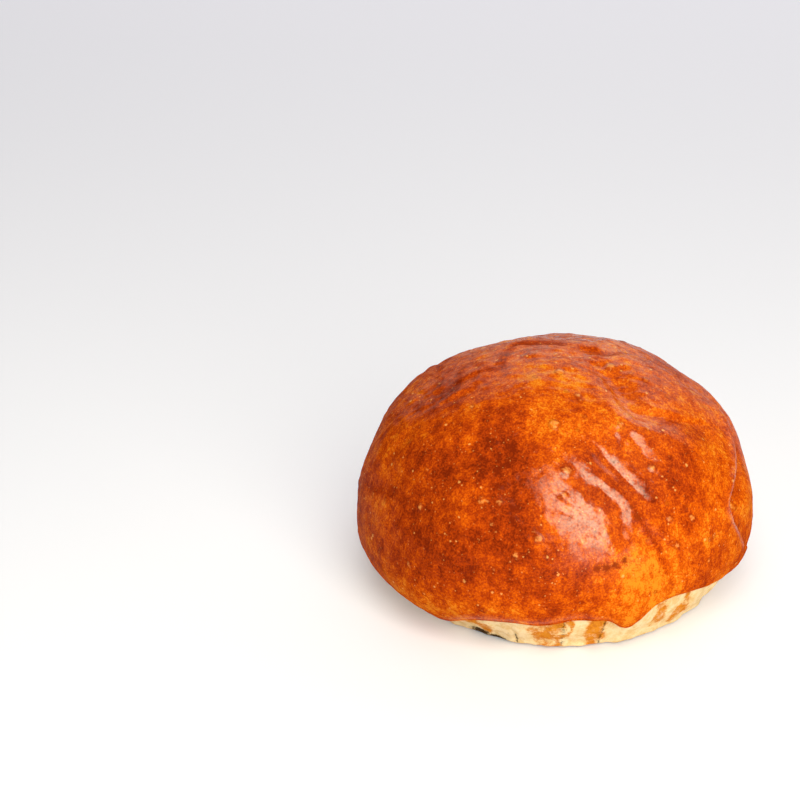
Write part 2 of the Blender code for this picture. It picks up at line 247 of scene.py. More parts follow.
# Short fine wrinkles: count, seed, length, depth and half width. The spreads are multiples of the length
# and the depth, and the sine of the climb is drawn between two values and raised to a power.
WRINKLES = 70
WRINKLE_SEED = 31
WRINKLE_LENGTH = 7.0 * MM
WRINKLE_LENGTHS = (0.5, 1.4)
WRINKLE_DEPTH = 0.13 * MM
WRINKLE_DEPTHS = (0.4, 1.2)
WRINKLE_HALF_WIDTH = 0.9 * MM
WRINKLE_SINES = (0.1, 1.0)
WRINKLE_POWER = 0.7

# ------------------------ colour zones

# Browning: its mean, soft random patches as (size, darkening, waves, seed), and what is added to them at
# (azimuth, climb, half width, darkening). A few pale spots along the lower left rim are painted light
# thrown up by the floor.
MEAN_BAKE = 0.48
BAKE_PATCHES = (
    (17.0 * MM, 0.045, 30, 51),
    (5.5 * MM, 0.045, 40, 52),
)
BROWNING_AND_RIM_LIGHT = metres((2,), (
    (-124, 50, 7, 0.24),
    (-117, 41, 6, 0.31),
    (-112, 32, 6, 0.36),
    (-109, 22, 6, 0.35),
    (-104, 8, 9, 0.24),
    (-150, 25, 16, 0.10),
    (-128, 8, 12, 0.30),
    (-66, 0, 10, -0.30),
    (-92, 2, 10, 0.06),
    (-90, 60, 14, -0.12),
    (-45, 12, 11, -0.06),
    (-52, 55, 14, -0.07),
    (-20, 40, 12, -0.06),
    (-20, 15, 8, -0.10),
    (-67, 10, 5, -0.14),
    (-168, 48, 10, 0.12),
    (90, 75, 20, -0.12),
    (100, 30, 18, 0.12),
    (40, 30, 16, -0.08),
    (-86, 44, 6, 0.16),
    (-79, 31, 9, 0.17),
    # Painted light: these paler spots on the lower left rim stand for the floor's bounce light.
    (-151, 11.5, 5, -0.18),
    (-160, 33, 6, -0.19),
    # Painted light: the floor's bounce on the lower left rim, as above.
    (-144, -7, 5, -0.30),
    (-134, -10, 5, -0.42),
    (-124, -10, 5, -0.36),
    (-109, -2, 5, -0.14),
    (-129, 32, 5, 0.22),
    (-46, 31, 6, 0.08),
    (-24, 10, 7, -0.14),
    (-140, 1, 2.5, 0.16),
    (-144, 4, 2, 0.12),
    (-133, 33, 6, 0.10),
    (-72, 8, 6, -0.14),
))
# Painted shade in the hollows of creases, and darkening along a few lines that follow no fold: (points,
# darkening, half width, skew), in the form of the folds.
CREASE_SHADE_LINES = metres((2,), (
    (((-69, 23), (-66, 17), (-64, 13.4), (-62.4, 8.5), (-59, 1)), 0.46, 1.2, 0.5),
    (((-80, 41), (-76, 34.5), (-71.3, 28.2), (-67.5, 22)), 0.20, 1.3, 0.0),
    (((-69, 45), (-66.5, 37), (-64.0, 30.5), (-61, 22)), 0.24, 1.3, 0.0),
    (((-58, 44), (-56, 36), (-54, 27), (-53, 16)), 0.14, 2.0, 0.3),
    (((-164, 12.5), (-157, 15), (-152, 16.6), (-146, 17.5), (-142, 20)), 0.30, 1.3, 0.6),
    (((-50, 52), (-44, 50), (-38, 46), (-30, 40.5)), 0.16, 1.2, 0.0),
    (((-47, 44), (-44, 36), (-45, 27), (-49, 14)), 0.16, 1.8, 0.0),
    (((-161, 70), (-163.4, 62.8), (-164.5, 55), (-162.6, 47.6)), 0.20, 1.2, 0.0),
    (((-177, 41), (176, 49.5), (174.6, 61), (178, 72), (-176, 80)), 0.18, 1.2, 0.0),
    (CROWN_CREASE_LEFT, 0.30, 2.2, 0.2),
    (CROWN_CREASE_RIGHT, 0.26, 2.0, 0.2),
))
# How much a line of painted crease shade dulls the gloss, as a multiple of its darkening, and at most.
DULLING = 3.0
MOST_DULLING = 0.9
# Small burnt spots: (azimuth, climb, radius).
SCORCHES = metres((2,), (
    (-68.8, 22.6, 1.0),
    (-70.4, 25.7, 0.8),
    (-82.0, 9.6, 1.3),
    (-79.5, 9.4, 1.4),
    (-77.0, 9.8, 1.1),
    (-74.0, 11.0, 1.0),
))
# Where the glaze lies thick and shines: a share of it everywhere, the exponent that makes its bells flat
# on top, and their (azimuth, climb, half width, share).
THIN_GLAZE = 0.02
GLAZE_POWER = 3
THICK_GLAZE = metres((2,), (
    (-81, 28, 14, 1.0),
    (-60, 41, 11, 0.75),
    (-47, 53, 8, 0.6),
    (-90, 88, 24, 0.45),
    (15, 58, 20, 0.4),
    (165, 60, 22, 0.14),
    (-170, 46, 9, 0.2),
    (90, 50, 26, 0.5),
    (0, 35, 10, 0.4),
    (130, 20, 24, 0.4),
    (4, 12, 13, 0.4),
    (-170, 8, 24, 0.08),
))
# Glaze that gathered in creases: (points, share, half width).
GLAZE_LINES = metres((2,), (
    (((-48, 53), (-45, 52), (-40, 49.5), (-35.6, 47.3), (-30, 43), (-24, 39.5)), 0.9, 1.3),
    (((-67.5, 78.4), (-60, 70), (-54, 62), (-48, 54)), 0.7, 1.6),
    (((-5, 45), (-6, 41), (-11, 32.5), (-19, 25.5), (-30, 19.7), (-34, 16.8), (-33, 12), (-27, 4.7),
      (-24, 0)),
     0.9, 1.2),
    (((-14, 59.5), (-5, 53), (4.6, 44), (2, 34)), 0.6, 2.2),
))
# Glaze that gathered along the lip on the left front: share, rows of the mesh, azimuth and half width, and
# the exponent of its bell along the lip.
LIP_GLAZE = 0.7
LIP_GLAZE_ROWS = 3.0
LIP_GLAZE_AZIMUTH = -104.0
LIP_GLAZE_SPREAD = 24.0
LIP_GLAZE_POWER = 4
# Glaze that ran down the foot: (azimuth, half width in degrees, reach as a share of the foot's height,
# strength).
DRIPS = (
    (-117.5, 2.4, 0.75, 0.9),
    (-95.5, 5.0, 1.3, 0.85),
    (-89.5, 1.0, 0.8, 1.0),
    (-80.0, 3.4, 1.3, 1.0),
    (-56.5, 2.6, 0.6, 0.85),
    (-47.0, 2.4, 0.7, 0.85),
)
# Drips on the rest of the foot, drawn at random: count, seed, where they start and how far round they go
# in degrees, their places within their own share of that, and their half widths, reaches and strengths.
MORE_DRIPS = 15
DRIP_SEED = 41
DRIP_START = -12.0
DRIP_SPAN = 237.0
DRIP_PLACES = (0.1, 0.9)
DRIP_HALF_WIDTHS = (1.2, 3.6)
DRIP_REACHES = (0.4, 1.1)
DRIP_STRENGTHS = (0.5, 1.0)
# How drips wander in degrees: (wavelength, height, waves, seed). Their outer edge is at this multiple of
# their half width, and their ends fade this steeply.
DRIP_WANDER = (7.0 * MM, 1.3, 20, DRIP_SEED)
DRIP_OUTER_EDGE = 1.6
DRIP_END_SLOPE = 4.0
# Dark marks on the foot: (azimuth, half width in degrees, upper and lower end as shares of its
# height, share), and how steeply they fade at their ends.
FOOT_MARKS = (
    (-120.5, 3.6, 0.48, 1.1, 1.6),
    (-113.5, 3.0, 0.55, 1.1, 1.6),
    (-106.0, 0.45, 0.25, 0.8, 0.9),
    (-108.5, 0.6, 0.30, 0.42, 0.6),
    (-90.5, 0.9, -0.1, 0.8, 0.45),
    (-77.2, 0.6, -0.1, 0.8, 0.6),
)
MARK_END_SLOPE = 8.0
# The browning of the foot's lower edge rises evenly down the foot from this to 1, and counts above 0.
EDGE_BROWNING_START = -2.5

# Mesh: columns round the bun, rows along each stretch of the profile, and radius of the innermost row
# underneath.
COLUMNS = 560
CRUST_ROWS = 152
LIP_ROWS = 12
FOOT_ROWS = 20
BASE_ROWS = 18
BASE_CORE_RADIUS = 2.0 * MM
# Fewest columns near the poles, and the share of the bun's radius under which the columns are halved first.
POLE_COLUMNS = 35
HALVING_SHARE = 0.62


# ------------------------ sizes and colours a user would change

# What the settings of one kind share.
LENGTH = {"subtype": "DISTANCE", "unit": "LENGTH"}
COLOR = {"size": 3, "min": 0.0, "max": 1.0, "subtype": "COLOR"}
POWER = {"min": 0.0, "unit": "POWER"}


class BunForm(bpy.types.PropertyGroup):
    """Sizes of the bun."""
    height: bpy.props.FloatProperty(
        name="Height", description="From the underside to the crown",
        default=62.6 * MM, min=0.02, **LENGTH)
    mean_radius: bpy.props.FloatProperty(
        name="Radius", description="Mean radius of the widest ring",
        default=50.4 * MM, min=0.02, **LENGTH)
    widest_height: bpy.props.FloatProperty(
        name="Widest Ring", description="Height of the widest ring",
        default=18.9 * MM, min=0.005, **LENGTH)
    fullness: bpy.props.FloatProperty(
        name="Fullness", description="Exponent of the dome's profile: 2 is an ellipse, more is squarer",
        default=2.15, min=1.5, max=4.0)
    lip_height: bpy.props.FloatProperty(
        name="Lip Height", description="Mean height of the crust's lip over the underside",
        default=11.9 * MM, min=0.0, **LENGTH)
    foot_radius: bpy.props.FloatProperty(
        name="Foot Radius", description="Mean radius of the foot just over its lower edge",
        default=39.9 * MM, min=0.01, **LENGTH)


class BunColors(bpy.types.PropertyGroup):
    """Colours of the crust and the foot."""
    dark_crust: bpy.props.FloatVectorProperty(
        name="Dark Crust", description="Deepest browning",
        default=(0.16, 0.014, 0.002), **COLOR)
    brown_crust: bpy.props.FloatVectorProperty(
        name="Brown Crust", description="Well baked glaze",
        default=(0.36, 0.038, 0.0025), **COLOR)
    orange_crust: bpy.props.FloatVectorProperty(
        name="Orange Crust", description="Lightly baked glaze",
        default=(0.58, 0.090, 0.0025), **COLOR)
    golden_crust: bpy.props.FloatVectorProperty(
        name="Golden Crust", description="Palest glaze",
        default=(0.68, 0.205, 0.011), **COLOR)
    scorch: bpy.props.FloatVectorProperty(
        name="Scorch", description="Burnt spots",
        default=(0.22, 0.026, 0.003), **COLOR)
    speck: bpy.props.FloatVectorProperty(
        name="Specks", description="Pale specks and the tops of blisters",
        default=(0.80, 0.37, 0.10), **COLOR)
    foot: bpy.props.FloatVectorProperty(
        name="Foot", description="Pale unglazed foot",
        default=(0.79, 0.61, 0.38), **COLOR)
    underside: bpy.props.FloatVectorProperty(
        name="Underside", description="Baked underside",
        default=(0.36, 0.17, 0.06), **COLOR)


class StageLook(bpy.types.PropertyGroup):
    """Floor and lights."""
    floor_color: bpy.props.FloatVectorProperty(
        name="Floor", description="Colour of the floor",
        default=(0.73, 0.735, 0.92), **COLOR)
    key_power: bpy.props.FloatProperty(
        name="Key Light", description="Power of the soft light in front",
        default=8.0, **POWER)
    back_power: bpy.props.FloatProperty(
        name="Back Light", description="Power of the light behind that gives the rim its sheen",
        default=7.5, **POWER)
    world_strength: bpy.props.FloatProperty(
        name="Surroundings", description="Strength of the pale surroundings",
        default=0.09, min=0.0)
    fill_power: bpy.props.FloatProperty(
        name="Overhead Light", description="Power of the wide light overhead, which isn't mirrored",
        default=10.0, **POWER)
    floor_glow: bpy.props.FloatProperty(
        name="Floor Glow", description="Light that comes through the floor from below, as on a light table",
        default=0.22, min=0.0)


# ------------------------ profile

def angle_from(azimuth, centre_degrees):
    """Signed angle from a centre, in degrees, from -180 to 180."""
    return (np.degrees(azimuth) - centre_degrees + 180.0) % 360.0 - 180.0


def bell_round(azimuth, centre, half_width):
    """A bell round the bun: exp(-(angle / half width)^2), with both in degrees."""
    return np.exp(-(angle_from(azimuth, centre) / half_width) ** 2)


def wave_radius(form, azimuth):
    """Radius of the widest ring: its mean plus a few cosine waves round the bun."""
    radius = np.full_like(azimuth, form.mean_radius)
    for waves, height, crest in RADIUS_WAVES:
        radius = radius + height * np.cos(waves * (azimuth - math.radians(crest)))
    return radius


def crust_point(form, azimuth, polar):
    """Radius and height on the plain crust.

    A superellipse: reach along the polar angle is (|sin|/radius)^n + (|cos|/depth)^n, to the power -1/n.
    """
    above = polar <= math.pi / 2
    reach = np.where(above, form.height - form.widest_height, LOWER_DEPTH)
    fullness = np.where(above, form.fullness, LOWER_FULLNESS)
    sine = np.abs(np.sin(polar))
    cosine = np.cos(polar)
    length = (sine / wave_radius(form, azimuth)) ** fullness + (np.abs(cosine) / reach) ** fullness
    length = length ** (-1.0 / fullness)
    return length * sine, form.widest_height + length * cosine


def lip_point(form, azimuth):
    """Radius, height and polar angle of the lip: its mean height plus one bell for each droop or rise."""
    height = np.full_like(azimuth, form.lip_height)
    for centre, half_width, rise in LIP_CHANGES:
        height = height + rise * bell_round(azimuth, centre, half_width)
    fall = (form.widest_height - height) / LOWER_DEPTH
    radius = wave_radius(form, azimuth) * (1.0 - fall ** LOWER_FULLNESS) ** (1.0 / LOWER_FULLNESS)
    polar = math.pi / 2 + np.arctan2(form.widest_height - height, radius)
    return radius, height, polar


def pleat(azimuth):
    """Shallow upright pleats round the foot, from -1 to 1: the mean of three sine waves."""
    phases = np.arange(len(PLEATS)) * PLEAT_PHASE
    waves = [np.sin(number * azimuth + phase) for number, phase in zip(PLEATS, phases)]
    return sum(waves) / len(PLEATS)


def smooth_path(knots, count):
    """Points of a Catmull-Rom curve through the knots, evenly spread in its parameter."""
    knots = np.asarray(knots, dtype=float)
    padded = np.concatenate([2 * knots[:1] - knots[1:2], knots, 2 * knots[-1:] - knots[-2:-1]])
    place = np.linspace(0.0, len(knots) - 1.0, count)
    start = np.minimum(place.astype(int), len(knots) - 2)
    t = (place - start).reshape((-1,) + (1,) * (knots.ndim - 1))
    p0, p1, p2, p3 = (padded[start + step] for step in range(4))
    return 0.5 * (2 * p1 + (p2 - p0) * t + (2 * p0 - 5 * p1 + 4 * p2 - p3) * t ** 2
                  + (3 * p1 - p0 - 3 * p2 + p3) * t ** 3)


def lower_profile(form, azimuth):
    """Radius and height rows of the lip's underside and of the foot, each a curve through a few knots."""
    radius, height, _ = lip_point(form, azimuth)
    top = radius - FOOT_TOP_INSET + PLEAT_DEPTH * pleat(azimuth)
    bottom = form.foot_radius + FOOT_WAVE_SHARE * (wave_radius(form, azimuth) - form.mean_radius)
    bottom = bottom + FOOT_LEAN * np.cos(azimuth - math.radians(FOOT_LEAN_AZIMUTH))
    for centre, half_width, change in FOOT_CHANGES:
        bottom = bottom + change * bell_round(azimuth, centre, half_width)
    bottom = bottom + PLEAT_DEPTH * pleat(azimuth + PLEAT_TWIST)
    corner = height + LIP_CORNER_RISE
    lip = (
        (radius, height),
        (radius - LIP_TURN, height - LIP_TURN),
        (0.5 * (radius + top), height - LIP_HANG),
        (top, corner),
    )
    foot = (
        (top, corner),
        (top + FOOT_HALFWAY_SHARE * (bottom - top), 0.5 * (corner + FOOT_EDGE)),
        (bottom, FOOT_EDGE),
        (bottom - FOOT_EDGE_SHARE * FOOT_EDGE, FOOT_EDGE_SHARE * FOOT_EDGE),
        (bottom - FOOT_EDGE, 0.0),
    )
    rows = []
    for knots, count in ((lip, LIP_ROWS), (foot, FOOT_ROWS)):
        path = smooth_path([np.stack(np.broadcast_arrays(*knot)) for knot in knots], count + 1)[1:]
        rows.append((path[:, 0], np.maximum(path[:, 1], 0.0)))
    return rows


def on_crust(form, azimuth_degrees, climb_degrees):
    """Points on the plain crust from azimuth and climb in degrees."""
    azimuth = np.radians(np.asarray(azimuth_degrees, dtype=float))
    polar = np.radians(90.0 - np.asarray(climb_degrees, dtype=float))
    radius, height = crust_point(form, azimuth, polar)
    return np.stack([radius * np.cos(azimuth), radius * np.sin(azimuth), height], axis=-1)


# ------------------------ relief

def wave_field(points, length, count, seed):
    """Soft random field of unit spread: a sum of sine waves in random directions."""
    random = np.random.default_rng(seed)
    field = np.zeros(points.shape[:-1])
    for _ in range(count):
        direction = random.normal(size=3)
        direction /= np.linalg.norm(direction)
        wave = length * random.uniform(*WAVE_SPREAD)
        field += np.sin(points @ direction * (2 * math.pi / wave) + random.uniform(0, 2 * math.pi))
    return field / math.sqrt(count / 2)


def ripple(points, wave):
    """The soft random field of a (wavelength, height, waves, seed), times its height."""
    length, height, count, seed = wave
    return height * wave_field(points, length, count, seed)


def fold_relief(form, points, knots, depth, half_width, shoulder, skew):
    """A groove along a curve with a raised shoulder on its left, fading at both ends.

    Across it, the groove is minus the depth times exp(-(distance / width)^2), where the width is the half
    width times 1 + skew on the left and 1 - skew on the right. Along it, both fade as a power of a sine.
    """
    angles = smooth_path(knots, POINTS_PER_KNOT * len(knots))
    curve = on_crust(form, angles[:, 0], angles[:, 1])
    centre = np.array([0.0, 0.0, form.widest_height])
    nearest = np.full(points.shape[:-1], np.inf)
    along = np.zeros(points.shape[:-1])
    side = np.zeros(points.shape[:-1])
    for index in range(len(curve) - 1):
        start, step = curve[index], curve[index + 1] - curve[index]
        share = np.clip(((points - start) @ step) / (step @ step), 0.0, 1.0)
        offset = points - (start + share[..., None] * step)
        distance = np.linalg.norm(offset, axis=-1)
        left = np.cross(start - centre, step)
        closer = distance < nearest
        nearest = np.where(closer, distance, nearest)
        along = np.where(closer, (index + share) / (len(curve) - 1), along)
        side = np.where(closer, offset @ (left / np.linalg.norm(left)), side)
    fade = np.sin(math.pi * (FADE_START + FADE_LENGTH * along)) ** FADE_POWER
    width = half_width * np.where(side > 0, 1.0 + skew, 1.0 - skew)
    groove = np.exp(-(nearest / width) ** 2)
    ridge = np.exp(-(nearest / half_width - SHOULDER_DISTANCE) ** 2) * (side > 0)
    return fade * (shoulder * ridge - depth * groove)


def bell(form, points, azimuth, climb, half_width, power=2):
    """A bell at a spot on the crust: exp(-(distance / half width)^power), flatter on top for more power."""
    distance = np.linalg.norm(points - on_crust(form, azimuth, climb), axis=-1)
    return np.exp(-(distance / half_width) ** power)


def bells(form, points, places, power=2):
    """Sum of bells of given shares at (azimuth, climb, half width, share), at most 1."""
    total = np.zeros(points.shape[:-1])
    for azimuth, climb, half_width, share in places:
        total += share * bell(form, points, azimuth, climb, half_width, power)
    return np.clip(total, 0.0, 1.0)


def crust_relief(form, points):
    """Lumps, folds, hollows and swells: the relief that the solid has too."""
    relief = ripple(points, LUMPS)
    for fold in FOLDS:
        relief += fold_relief(form, points, *fold)
    for azimuth, climb, half_width, height in SWELLS:
        relief += height * bell(form, points, azimuth, climb, half_width)
    return relief


def all_blisters(form):
    """Centres, radii, heights and paleness of the placed blisters and of many small ones."""
    random = np.random.default_rng(BLISTER_SEED)
    placed = np.array(PLACED_BLISTERS)
    azimuth = random.uniform(-180.0, 180.0, BLISTERS)
    climb = np.degrees(np.arcsin(random.uniform(*BLISTER_SINES, BLISTERS)))
    size = random.power(BLISTER_POWER, BLISTERS)
    radius = BLISTER_RADIUS[0] + BLISTER_RADIUS[1] * size
    height = BLISTER_HEIGHT[0] + BLISTER_HEIGHT[1] * size
    small = np.stack([azimuth, climb, radius, height], axis=1)
    pale = random.uniform(*BLISTER_PALENESS, BLISTERS)
    pale = np.concatenate([np.full(len(placed), PLACED_PALENESS), pale])
    azimuth, climb, radius, height = np.concatenate([placed, small]).T
    return on_crust(form, azimuth, climb), radius, height, pale


def blister_relief(form, points):
    """Height of the blisters, and a mask of how pale they are.

    Each is a flat-topped bell, exp(-(distance / radius)^3); the higher counts where two of them meet.
    """
    relief = np.zeros(points.shape[:-1])
    mask = np.zeros(points.shape[:-1])
    for centre, radius, height, pale in zip(*all_blisters(form)):
        near = np.abs(points[..., 2] - centre[2]) < BLISTER_REACH * radius
        distance = np.linalg.norm(points[near] - centre, axis=-1)
        dome = np.exp(-(distance / radius) ** 3)
        relief[near] = np.maximum(relief[near], height * dome)
        mask[near] = np.maximum(mask[near], pale * dome)
    return relief, mask


def wrinkle_relief(form, points):
    """Short shallow creases scattered over the crust, each a bell across it and a longer bell along it."""
    random = np.random.default_rng(WRINKLE_SEED)
    relief = np.zeros(points.shape[:-1])
    for _ in range(WRINKLES):
        azimuth = random.uniform(-180.0, 180.0)
        climb = math.degrees(math.asin(random.uniform(*WRINKLE_SINES) ** WRINKLE_POWER))
        centre = on_crust(form, azimuth, climb)
        heading = random.normal(size=3)
        outward = centre - np.array([0.0, 0.0, form.widest_height])
        heading -= outward * (heading @ outward) / (outward @ outward)
        heading /= np.linalg.norm(heading)
        length = WRINKLE_LENGTH * random.uniform(*WRINKLE_LENGTHS)
        depth = WRINKLE_DEPTH * random.uniform(*WRINKLE_DEPTHS)
        offset = points - centre
        along = offset @ heading
        distance2 = (offset * offset).sum(axis=-1) - along ** 2
        relief -= depth * np.exp(-distance2 / WRINKLE_HALF_WIDTH ** 2 - (along / (0.5 * length)) ** 2)
    return relief


# ------------------------ surface grid

def profile_grid(form):
    """Azimuths of the columns, points of every row and column, and the rows of each stretch."""
    azimuth = np.arange(COLUMNS) * (2 * math.pi / COLUMNS)
    share = np.linspace(0.0, 1.0, CRUST_ROWS + 1)[1:, None]
    radius, height = crust_point(form, azimuth[None, :], share * lip_point(form, azimuth)[2][None, :])
    (lip_radius, lip_z), (foot_radius, foot_z) = lower_profile(form, azimuth)
    inward = np.linspace(1.0, 0.0, BASE_ROWS + 1)[1:, None]
    base_radius = BASE_CORE_RADIUS + inward * (foot_radius[-1:] - BASE_CORE_RADIUS)
    radius = np.concatenate([radius, lip_radius, foot_radius, base_radius])
    height = np.concatenate([height, lip_z, foot_z, np.zeros_like(base_radius)])
    points = np.stack([radius * np.cos(azimuth), radius * np.sin(azimuth), height], axis=-1)
    rows = {"crust": slice(0, CRUST_ROWS)}
    rows["lip"] = slice(CRUST_ROWS, CRUST_ROWS + LIP_ROWS)
    rows["foot"] = slice(rows["lip"].stop, rows["lip"].stop + FOOT_ROWS)
    rows["base"] = slice(rows["foot"].stop, rows["foot"].stop + BASE_ROWS)
    return azimuth, points, rows


def raise_relief(form, points, rows):
    """Moves the crust, lip and foot out by their relief and returns the mask of the blisters."""
    upper = points[:rows["lip"].stop]
    squeezed = upper * np.array([1.0 / CREASE_STRETCH, 1.0, 1.0 / CREASE_STRETCH])
    relief = crust_relief(form, upper) + ripple(upper, PEEL) + ripple(upper, PEBBLE)
    relief += ripple(squeezed, CREASES) * bells(form, upper, CREASE_PLACES)
    relief += wrinkle_relief(form, upper)
    for fold in FINE_FOLDS:
        relief += fold_relief(form, upper, *fold)
    blisters, mask = blister_relief(form, upper)
    relief += blisters
    outward = upper - np.array([0.0, 0.0, form.widest_height])
    outward[rows["lip"], :, 2] = 0.0
    outward /= np.linalg.norm(outward, axis=-1, keepdims=True)
    fade = np.ones(rows["lip"].stop)
    fade[rows["lip"]] = np.linspace(1.0, 0.0, LIP_ROWS + 1)[1:]
    points[:rows["lip"].stop] = upper + outward * (relief * fade[:, None])[..., None]
    swell = 1.0 + ripple(points[rows["foot"]], FOOT_CRUMB) / form.foot_radius
    points[rows["foot"], :, :2] *= swell[..., None]
    return mask


def surface_masks(form, azimuth, points, rows, blisters):
    """Masks for the material: browning with painted rim light and crease shade, gloss, blisters, scorches
    and dark foot marks, foot, glaze drips and underside.
    """
    masks = {name: np.zeros(points.shape[:2]) for name in ("blister", "scorch", "foot", "drip", "base")}
    above = slice(0, rows["lip"].stop)
    upper = points[above]
    bake_and_painted_light = sum((ripple(points, patches) for patches in BAKE_PATCHES), MEAN_BAKE)
    for spot_azimuth, climb, half_width, darkening in BROWNING_AND_RIM_LIGHT:
        bake_and_painted_light += darkening * bell(form, points, spot_azimuth, climb, half_width)
    # Painted shade along the creases, added to the browning; it also dulls the gloss.
    crease_shade = np.zeros(upper.shape[:-1])
    for knots, darkening, half_width, skew in CREASE_SHADE_LINES:
        crease_shade -= fold_relief(form, upper, knots, darkening, half_width, 0.0, skew)
    bake_and_painted_light[above] += crease_shade
    masks["bake_and_painted_light"] = np.clip(bake_and_painted_light, 0.0, 1.0)
    gloss = THIN_GLAZE + (1.0 - THIN_GLAZE) * bells(form, points, THICK_GLAZE, GLAZE_POWER)
    gloss[above] *= 1.0 - np.clip(DULLING * crease_shade, 0.0, MOST_DULLING)
    for knots, share, half_width in GLAZE_LINES:
        line = -fold_relief(form, upper, knots, share, half_width, 0.0, 0.0)
        gloss[above] = np.maximum(gloss[above], line)
    above_lip = (CRUST_ROWS - np.arange(CRUST_ROWS))[:, None] / LIP_GLAZE_ROWS
    along_lip = (angle_from(azimuth, LIP_GLAZE_AZIMUTH) / LIP_GLAZE_SPREAD)[None, :]
    lip_glaze = LIP_GLAZE * np.exp(-above_lip ** 2) * np.exp(-along_lip ** LIP_GLAZE_POWER)
    gloss[rows["crust"]] = np.maximum(gloss[rows["crust"]], lip_glaze)
    masks["gloss"] = gloss
    masks["blister"][above] = blisters
    for spot_azimuth, climb, radius in SCORCHES:
        spot = bell(form, upper, spot_azimuth, climb, radius)
        masks["scorch"][above] = np.maximum(masks["scorch"][above], spot)
    # The dark marks on the foot go into the same mask.
    masks["scorch"][rows["foot"]] = foot_marks(azimuth)
    masks["foot"][rows["lip"]] = np.linspace(0.0, 1.0, LIP_ROWS)[:, None] ** 2
    masks["foot"][rows["foot"].start:] = 1.0
    masks["drip"][rows["foot"]] = drip_mask(azimuth, points[rows["foot"]])
    edge = np.linspace(EDGE_BROWNING_START, 1.0, FOOT_ROWS)[:, None]
    masks["base"][rows["foot"]] = np.clip(edge, 0.0, 1.0)
    masks["base"][rows["base"]] = 1.0
    return masks


def foot_marks(azimuth):
    """Dark marks on the foot: bells round the bun with soft ends up and down."""
    down = np.linspace(0.0, 1.0, FOOT_ROWS)[:, None]
    mask = np.zeros((FOOT_ROWS, len(azimuth)))
    for centre, half_width, upper, lower, share in FOOT_MARKS:
        ends = np.clip(MARK_END_SLOPE * np.minimum(down - upper, lower - down), 0.0, 1.0)
        mask = np.maximum(mask, share * bell_round(azimuth, centre, half_width) * ends)
    return mask


def drip_mask(azimuth, foot):
    """Glaze that ran down the foot: each drip has soft edges and ends, and wanders as it goes down."""
    random = np.random.default_rng(DRIP_SEED)
    drips = list(DRIPS)
    for place in range(MORE_DRIPS):
        centre = DRIP_START + DRIP_SPAN * (place + random.uniform(*DRIP_PLACES)) / MORE_DRIPS
        drips.append((centre, random.uniform(*DRIP_HALF_WIDTHS), random.uniform(*DRIP_REACHES),
                      random.uniform(*DRIP_STRENGTHS)))
    down = np.linspace(0.0, 1.0, len(foot))[:, None]
    wander = ripple(foot, DRIP_WANDER)
    mask = np.zeros(foot.shape[:2])
    for centre, half_width, reach, strength in drips:
        across = np.abs(angle_from(azimuth, centre)[None, :] + wander) / half_width
        drip = np.clip(DRIP_OUTER_EDGE - across, 0.0, 1.0)
        drip = drip * np.clip(DRIP_END_SLOPE * (reach - down), 0.0, 1.0)
        mask = np.maximum(mask, strength * drip)
    return mask


# ------------------------ mesh

def row_steps(form, points):
    """Column step of each row: doubled towards the poles, so that triangles keep their size."""
    widths = np.linalg.norm(points[..., :2], axis=-1).mean(axis=1)
    steps = []
    for width in widths:
        step = 1
        while COLUMNS // step > POLE_COLUMNS and width < HALVING_SHARE * form.mean_radius / step:
            step *= 2
        steps.append(step)
    return steps


def ring(start, count, shift=0):
    """Vertex numbers once round a ring, beginning a few columns on."""
    return start + (np.arange(count) + shift) % count


def triangles(*groups):
    """One array of triangles from groups of three arrays of vertex numbers."""
    return np.concatenate([np.stack(np.broadcast_arrays(*group), axis=1) for group in groups])


def ring_faces(upper_start, upper, lower_start, lower):
    """Triangles between two rings with equal columns, or one with twice as many."""
    a, b = ring(upper_start, upper), ring(upper_start, upper, 1)
    c, d = ring(lower_start, lower), ring(lower_start, lower, 1)
    if upper < lower:
        c, d, e = (ring(lower_start, lower, shift)[::2] for shift in range(3))
        return triangles((a, c, d), (a, d, b), (b, d, e))
    if upper > lower:
        a, m, b = (ring(upper_start, upper, shift)[::2] for shift in range(3))
        return triangles((a, c, m), (m, c, d), (m, d, b))
    return triangles((a, c, d), (a, d, b))


def fit_in_box(vertices, box):
    """Centres the points in the solid's box and shrinks each axis just enough to stay inside it."""
    low, high = np.array(box[0]), np.array(box[1])
    mine_low, mine_high = vertices.min(axis=0), vertices.max(axis=0)
    scale = np.minimum(1.0, (high - low) / (mine_high - mine_low))
    placed = (vertices - 0.5 * (mine_low + mine_high)) * scale + 0.5 * (low + high)
    placed[:, 2] = (vertices[:, 2] - mine_low[2]) * scale[2] + low[2]
    return placed


